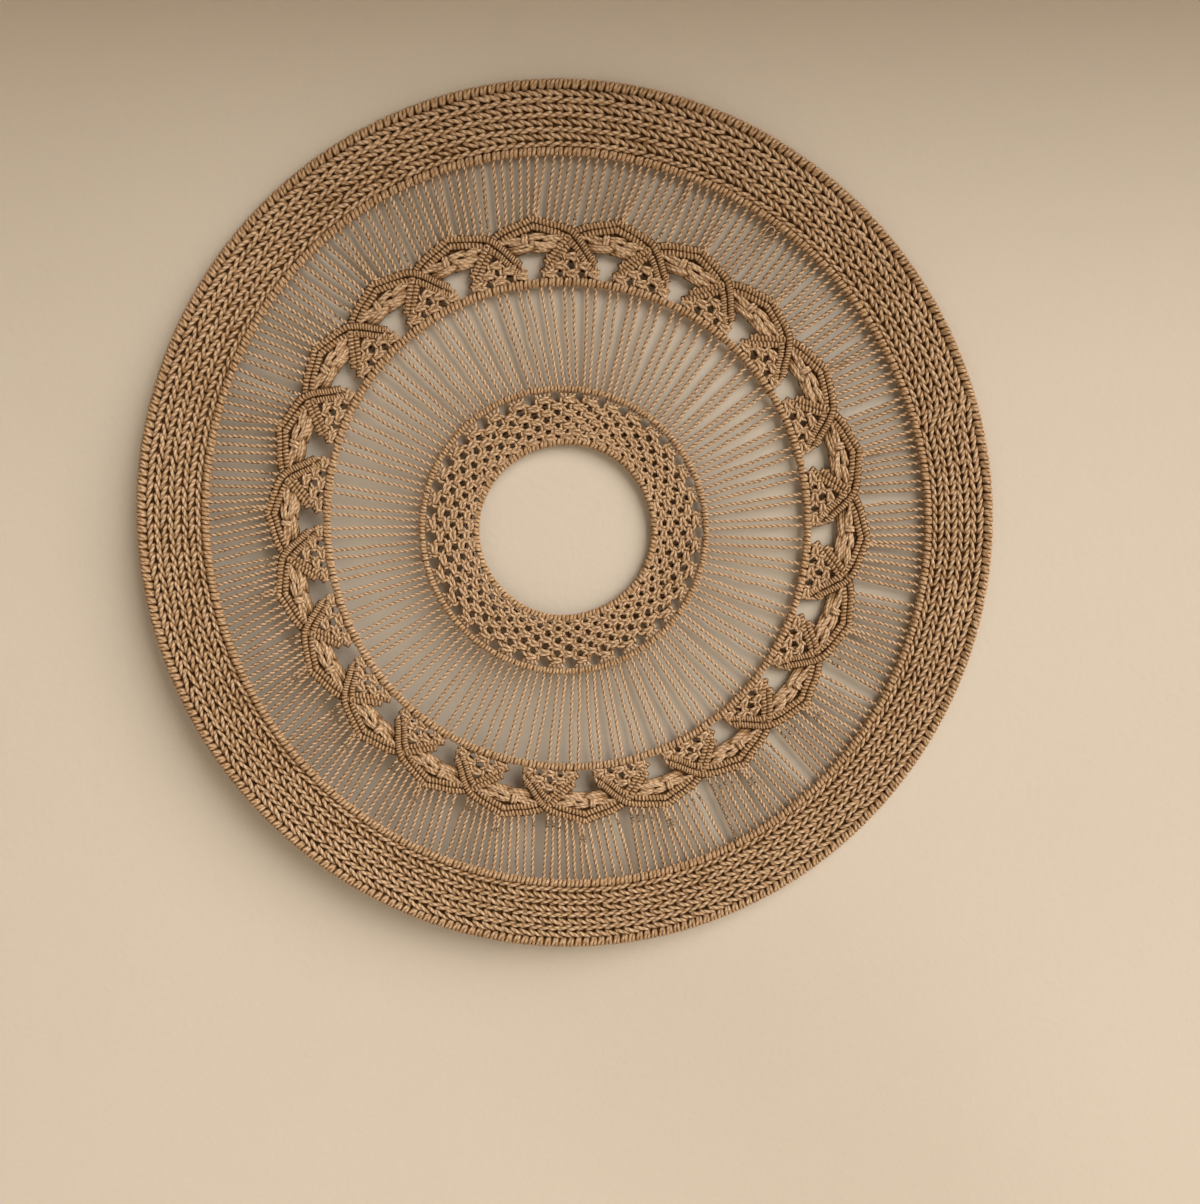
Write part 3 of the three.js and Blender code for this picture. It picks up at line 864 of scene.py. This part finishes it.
def triangle_knots():
    work = CordWork()
    for petal in range(PETALS):
        middle, _ = crossing(petal)
        places = np.array(TRIANGLE_KNOTS)
        degrees = middle + places[:, 0] + hand.normal(0, TRIANGLE_SPREAD[0], len(places))
        radius = places[:, 1] + hand.normal(0, TRIANGLE_SPREAD[1], len(places))
        square_knots(work, degrees, radius, TRIANGLE_PITCH, TRIANGLE_TALL, reach=places[:, 2:])
    work.piece("triangle_knots", knot_cord, "petal_cord", "petal_band")


triangle_knots()


# Free cords

SLOW_WAVE = 31  # length of a wave
QUICK_WAVE = 11
QUICK_SIZE = 0.5  # against the slow wave
WAVE_SIZE = 0.5  # against the bow of a whole cord
BOW = 3
CALM = 8  # the waves are whole from an eighth of the way on, from each end


def uneven(points, amount):
    """Slow sideways waves along cords that lie close to the middle plane."""
    length = np.linalg.norm(np.diff(points, axis=1), axis=-1)
    length = np.concatenate([np.zeros((len(points), 1)), np.cumsum(length, axis=1)], axis=1)
    share = length / length[:, -1:]
    side = unit(np.cross(points[:, -1] - points[:, 0], FRONT))[:, None, :]
    phase = hand.uniform(0, 2 * np.pi, (2, len(points), 1))
    size = hand.normal(0, 1, (2, len(points), 1))
    slow = size[0] * np.sin(2 * np.pi * length / SLOW_WAVE + phase[0])
    quick = QUICK_SIZE * size[1] * np.sin(2 * np.pi * length / QUICK_WAVE + phase[1])
    bow = hand.normal(0, 1, (len(points), 1)) * share * (1 - share) * BOW
    calm = np.clip(np.minimum(share, 1 - share) * CALM, 0, 1)
    return points + (((slow + quick) * WAVE_SIZE + bow) * amount * calm)[..., None] * side


OUTER_ROOTS = (-7.1, -5.6, -4.2, -2.9, -1.4, -0.3, 0.3, 1.8, 3.0, 4.3, 5.5, 6.7)  # degrees from the peak
OUTER_STEP = 1.345  # degrees between their ends on the hoop
OUTER_LEAN = ((0, 12, 28, 45, 150, 178, 227, 245, 262, 292, 307, 324, 340, 360),
              (1.75, 1.8, 0.8, 0.4, 0.35, -0.6, -1.0, -1.9, -1.95, -1.8, -1.4, -0.2, 1.1, 1.75))
FAN_PETAL = 19  # the petal where the outer cords fan apart
FAN_MORE = 0.26  # degrees more from each cord to the next there
FIRST_PEAK_CORD = 5  # the two middle cords bend round the peak
PEAK_RADIUS = 246.5
OUTER_TURN = 0.04  # share of a cord's lean that it takes at its bend
OUTER_POINTS = 8  # to a route
OUTER_STOPS = 36
OUTER_TIP = 295.6
OUTER_HALF = 1.74
OUTER_SHADE = (-2.2, 1.15)
OUTER_WAVER = 0.32
OUTER_SPREAD = 0.07  # degrees


def outer_cords():
    routes = []
    for petal in range(PETALS):
        peak = window_angle(petal) + PEAK_SHIFT
        lean = np.interp(peak % 360, *OUTER_LEAN)
        for cord, offset in enumerate(OUTER_ROOTS):
            offset = offset + hand.normal(0, OUTER_SPREAD)
            step = OUTER_STEP + (FAN_MORE if petal == FAN_PETAL else 0.0)
            tip = peak + (cord - FIRST_PEAK_CORD - 0.5) * step + lean + hand.normal(0, OUTER_SPREAD)
            root = peak + offset
            past_first = cord - FIRST_PEAK_CORD
            if past_first in (0, 1):
                bend = [
                    (PEAK_RADIUS - 2.5, peak + 0.9, 0.6),
                    (PEAK_RADIUS, peak + 0.3 * past_first, 0.9),
                    (PEAK_RADIUS + 2.5, root, 0.7),
                ]
                start = PEAK_RADIUS + 6
            else:
                if past_first < 0:
                    row = row_at("rising_outer", petal - 1, root)
                else:
                    row = row_at("falling_outer", petal, root)
                bend = [(row, root, 0.4), (row + 2.2, root, 0.5)]
                start = row + 5
            turn = root + (tip - root) * OUTER_TURN
            bend = [at(*spot) for spot in bend]
            straight = [at(start, turn, 0.4), at(OUTER_TIP, tip, 0.0)]
            shares = np.linspace(0, 1, OUTER_POINTS - len(bend))[:, None]
            routes.append(np.concatenate([bend, straight[0] * (1 - shares) + straight[1] * shares]))
    points = uneven(through(np.array(routes), OUTER_STOPS), OUTER_WAVER)
    work = CordWork()
    width = OUTER_HALF * (1 + hand.normal(0, SIZE_SPREAD, (len(points), 1)))
    work.lay(points, width, width, SLIM_PLY, twisted=True, deep=OUTER_SHADE)
    work.piece("outer_cords", petal_cord, "petal_cord", "petal_band")


outer_cords()

PAIR_SHIFT = 0.12  # the first pair's place after a window, in petals
PAIR_GAP = 0.95  # degrees from a pair's middle to each cord, at the scalloped band
INNER_LEAN = ((0, 12, 22, 60, 90, 150, 178, 205, 240, 270, 334, 350, 360),
              (3.0, 1.9, 1.2, 0.5, 0.0, -1.8, -2.6, -1.4, -0.2, 1.0, 2.4, 3.2, 3.0))
INNER_NEAR = (116.6, 0.4)  # (radius, front) of the ends
INNER_FAR = (195.6, 0.2)
INNER_STOPS = 54
INNER_HALF = 1.54
INNER_SHADE = (-2.4, 0.85)
INNER_WAVER = 0.45
INNER_SPREAD = (0.12, 0.1)  # degrees at the near and far ends


def pair_far(pair):
    return window_angle(np.asarray(pair) * PETALS / INNER_PAIRS + PAIR_SHIFT)


def pair_near(pair):
    far = pair_far(pair)
    return far + np.interp(far % 360, *INNER_LEAN)


def inner_cords():
    pair = np.arange(INNER_PAIRS)
    gap = np.diff(pair_near(np.arange(INNER_PAIRS + 1)))
    roots = []
    tips = []
    for side in (-1, 1):
        near = pair_near(pair) + side * gap / 4 + hand.normal(0, INNER_SPREAD[0], INNER_PAIRS)
        far = pair_far(pair) + side * PAIR_GAP + hand.normal(0, INNER_SPREAD[1], INNER_PAIRS)
        roots.append(at(INNER_NEAR[0], near, INNER_NEAR[1]))
        tips.append(at(INNER_FAR[0], far, INNER_FAR[1]))
    roots = np.concatenate(roots)[:, None, :]
    tips = np.concatenate(tips)[:, None, :]
    share = np.linspace(0, 1, INNER_STOPS)[None, :, None]
    points = uneven(roots * (1 - share) + tips * share, INNER_WAVER)
    work = CordWork()
    width = INNER_HALF * (1 + hand.normal(0, SIZE_SPREAD, (len(points), 1)))
    work.lay(points, width, width, SLIM_PLY, twisted=True, deep=INNER_SHADE)
    work.piece("inner_cords", spoke_cord, "hoop_cord", "hoop_spoke")


inner_cords()


# Net of staggered square knots between the two inner hoops

NET_LEVELS = (107.2, 101.6, 96.2, 90.8, 85.5, 80.4, 76.4)
NET_TOP = (-2.5, -0.9, 0.9, 2.5)  # degrees of the cords that hang a knot of the first row on the hoop
NET_TOP_SPREAD = (1.3, 0.75)  # at the hoop and at the knot
NET_TOP_ROUTE = ((113.8, 0.0), (111.2, 0.9), (108.6, 0.2))  # (radius, front)
NET_TOP_HALF = (1.25, 1.2)
NET_SPREAD = 0.15  # degrees, and millimetres of radius


def net_knots():
    work = CordWork()
    column = np.arange(INNER_PAIRS)
    near = pair_near(np.arange(INNER_PAIRS + 1))
    places = (near[:-1] + near[1:]) / 2
    for level, radius in enumerate(NET_LEVELS):
        chosen = places[column % 2 == (level + 1) % 2]
        pitch = np.radians(720 / INNER_PAIRS) * radius
        degrees = chosen + hand.normal(0, NET_SPREAD, len(chosen))
        height = radius + hand.normal(0, NET_SPREAD, len(chosen))
        square_knots(work, degrees, height, pitch, 1.0, first_arm=int(level == 0))
    hung = places[column % 2 == 1]
    for offset in NET_TOP:
        high, low = (hung + offset * spread for spread in NET_TOP_SPREAD)
        degrees = (high, (low + high) / 2, low)
        points = [at(radius, place, front) for place, (radius, front) in zip(degrees, NET_TOP_ROUTE)]
        work.lay(np.stack(points, axis=1), *NET_TOP_HALF, SIX_SIDED)
    work.piece("net_knots", net_cord, "net_cord", "knot_net")


net_knots()


# One ply that has sprung loose under the second hoop

LOOSE_THREAD = (  # (degrees, radius, front)
    (33.95, 281.0, 0.6),
    (34.0, 286.0, 1.8),
    (34.15, 290.5, 2.4),
    (34.6, 293.0, 2.6),
    (35.1, 291.0, 2.6),
    (35.15, 287.5, 2.6),
    (34.75, 284.5, 2.4),
    (34.25, 281.8, 1.6),
    (33.9, 278.5, 0.6),
)
THREAD_STOPS = 34
THREAD_HALF = 0.62


def loose_thread():
    degrees, radius, front = np.array(LOOSE_THREAD).T
    work = CordWork()
    points = through(at(radius, degrees, front), THREAD_STOPS)
    work.lay(points[None], THREAD_HALF, THREAD_HALF, SIX_SIDED)
    work.piece("loose_thread", petal_cord, "petal_cord", "petal_band")


loose_thread()


# Stage: pale floor, a pale backdrop close behind, soft light and the camera


def stand(name, shape, finish):
    """A finished shape as a piece of the stage."""
    mesh = bpy.data.meshes.new(name)
    shape.to_mesh(mesh)
    shape.free()
    mesh.shade_smooth()
    mesh.materials.append(finish)
    made = bpy.data.objects.new(name, mesh)
    bpy.context.scene.collection.objects.link(made)
    return made


def level_sheet(name, half, first, second, height, finish):
    """A flat sheet that faces up if its first edge lies in front of its second, or else down."""
    corners = ((-half, first), (half, first), (half, second), (-half, second))
    shape = bmesh.new()
    shape.faces.new([shape.verts.new((*corner, height)) for corner in corners])
    return stand(name, shape, finish)


def paint_finish(name, light, dark, one_sided=False, lets_light=False):
    """Matt pale paint; one-sided paint shows only from the front, and can let light through from behind."""
    made = Finish(name)
    place = made.place()
    cloud = made.node("ShaderNodeTexNoise", None, {"Vector": place, "Scale": 2.2, "Detail": 4.0})
    grain = made.node("ShaderNodeTexNoise", None, {"Vector": place, "Scale": 160.0, "Detail": 3.0})
    colour = made.blend(cloud, dark, light)
    bump = made.node("ShaderNodeBump", None, {"Strength": 0.12, "Distance": 0.002, "Height": grain})
    inputs = {"Base Color": colour, "Roughness": 0.9, "Normal": bump, "Specular IOR Level": 0.2}
    paint = made.node("ShaderNodeBsdfPrincipled", None, inputs)
    if not one_sided:
        return made.close(paint)
    share = made.node("ShaderNodeNewGeometry", output="Backfacing")
    if lets_light:
        share = (share + made.node("ShaderNodeLightPath", output="Is Shadow Ray")).clamped()
    clear = made.node("ShaderNodeBsdfTransparent")
    return made.close(made.node("ShaderNodeMixShader", None, {0: share, 1: paint, 2: clear}))


WALL_LIGHT = (0.63, 0.563, 0.475, 1.0)
WALL_DARK = (0.595, 0.528, 0.44, 1.0)
FLOOR_LIGHT = (0.82, 0.76, 0.68, 1.0)
FLOOR_DARK = (0.78, 0.72, 0.64, 1.0)
backdrop = paint_finish("backdrop paint", WALL_LIGHT, WALL_DARK, one_sided=True, lets_light=True)
flag_paint = paint_finish("flag paint", WALL_LIGHT, WALL_DARK, one_sided=True)
floor_paint = paint_finish("floor paint", FLOOR_LIGHT, FLOOR_DARK)
FLOOR = -1.15
FLOOR_HALF = 4
FLAG = 0.134  # height of the sheet that shades the top of the backdrop
FLAG_HALF = 3
FLAG_BACK = 0.1
FLAG_REACH = -0.256
MIDDLE = (0.0, 0.0, -0.35)
BACKDROP_HALF = 2.0
BACKDROP_TOP = 1.2
BACKDROP_GAP = 0.0058  # behind the disc's middle plane, at the upper right
BACKDROP_SAG = 0.024  # more than that at the lower left
BACKDROP_AWAY = (-0.75, -0.66)  # the way to the lower left, as x and z
BACKDROP_REACH = 0.38
BACKDROP_GRID = (48, 36)


def curved_backdrop():
    """A pale sheet close behind the disc, which stands off it towards the lower left."""
    shape = bmesh.new()
    columns, rows = BACKDROP_GRID
    bmesh.ops.create_grid(shape, x_segments=columns, y_segments=rows, size=1.0)
    for corner in shape.verts:
        x = BACKDROP_HALF * corner.co.x
        z = FLOOR + (BACKDROP_TOP - FLOOR) * (corner.co.y + 1) / 2
        away = BACKDROP_AWAY[0] * x + BACKDROP_AWAY[1] * (z - MIDDLE[2])
        corner.co = (x, BACKDROP_GAP + BACKDROP_SAG * smoothstep(away / BACKDROP_REACH), z)
    return stand("backdrop", shape, backdrop)


curved_backdrop()
level_sheet("flag", FLAG_HALF, FLAG_BACK, FLAG_REACH, FLAG, flag_paint)
level_sheet("floor", FLOOR_HALF, -FLOOR_HALF, FLOOR_HALF, FLOOR, floor_paint)

# Place, size, power and colour
LIGHTS = {
    "key": ((7.4, -7.0, 5.3), 10.4, 2180.0, (1.0, 0.955, 0.89)),
    "fill": ((-2.4, -2.6, 0.2), 2.0, 9.0, (1.0, 0.80, 0.55)),
    "rear": ((0.7, 2.2, 0.6), 1.6, 11.0, (1.0, 0.86, 0.70)),
}
WORLD_COLOUR = (0.95, 0.70, 0.40, 1.0)
WORLD_STRENGTH = 0.045
CAMERA_DOWN = 7.8  # degrees


def soft_light(name, place, size, power, colour):
    """A square light that faces the middle of the disc."""
    light = bpy.data.lights.new(name, "AREA")
    light.shape = "SQUARE"
    light.size = size
    light.energy = power
    light.color = colour
    made = bpy.data.objects.new(name, light)
    made.location = place
    aim = Vector(MIDDLE) - Vector(place)
    made.rotation_mode = "QUATERNION"
    made.rotation_quaternion = aim.to_track_quat("-Z", "Y")
    bpy.context.scene.collection.objects.link(made)


for light_name, light_settings in LIGHTS.items():
    soft_light(light_name, *light_settings)

world = bpy.data.worlds.new("studio")
world.use_nodes = True
background = world.node_tree.nodes["Background"]
background.inputs["Color"].default_value = WORLD_COLOUR
background.inputs["Strength"].default_value = WORLD_STRENGTH
bpy.context.scene.world = world
bpy.context.scene.view_settings.view_transform = "Standard"

camera = bpy.data.cameras.new("camera")
camera.lens = 35.94
camera.sensor_width = 36.0
camera.shift_y = 0.0698
viewer = bpy.data.objects.new("camera", camera)
viewer.location = (0.0287, -0.9929, -0.3405)
viewer.rotation_euler = (math.radians(90 - CAMERA_DOWN), 0, 0)
bpy.context.scene.collection.objects.link(viewer)
bpy.context.scene.camera = viewer
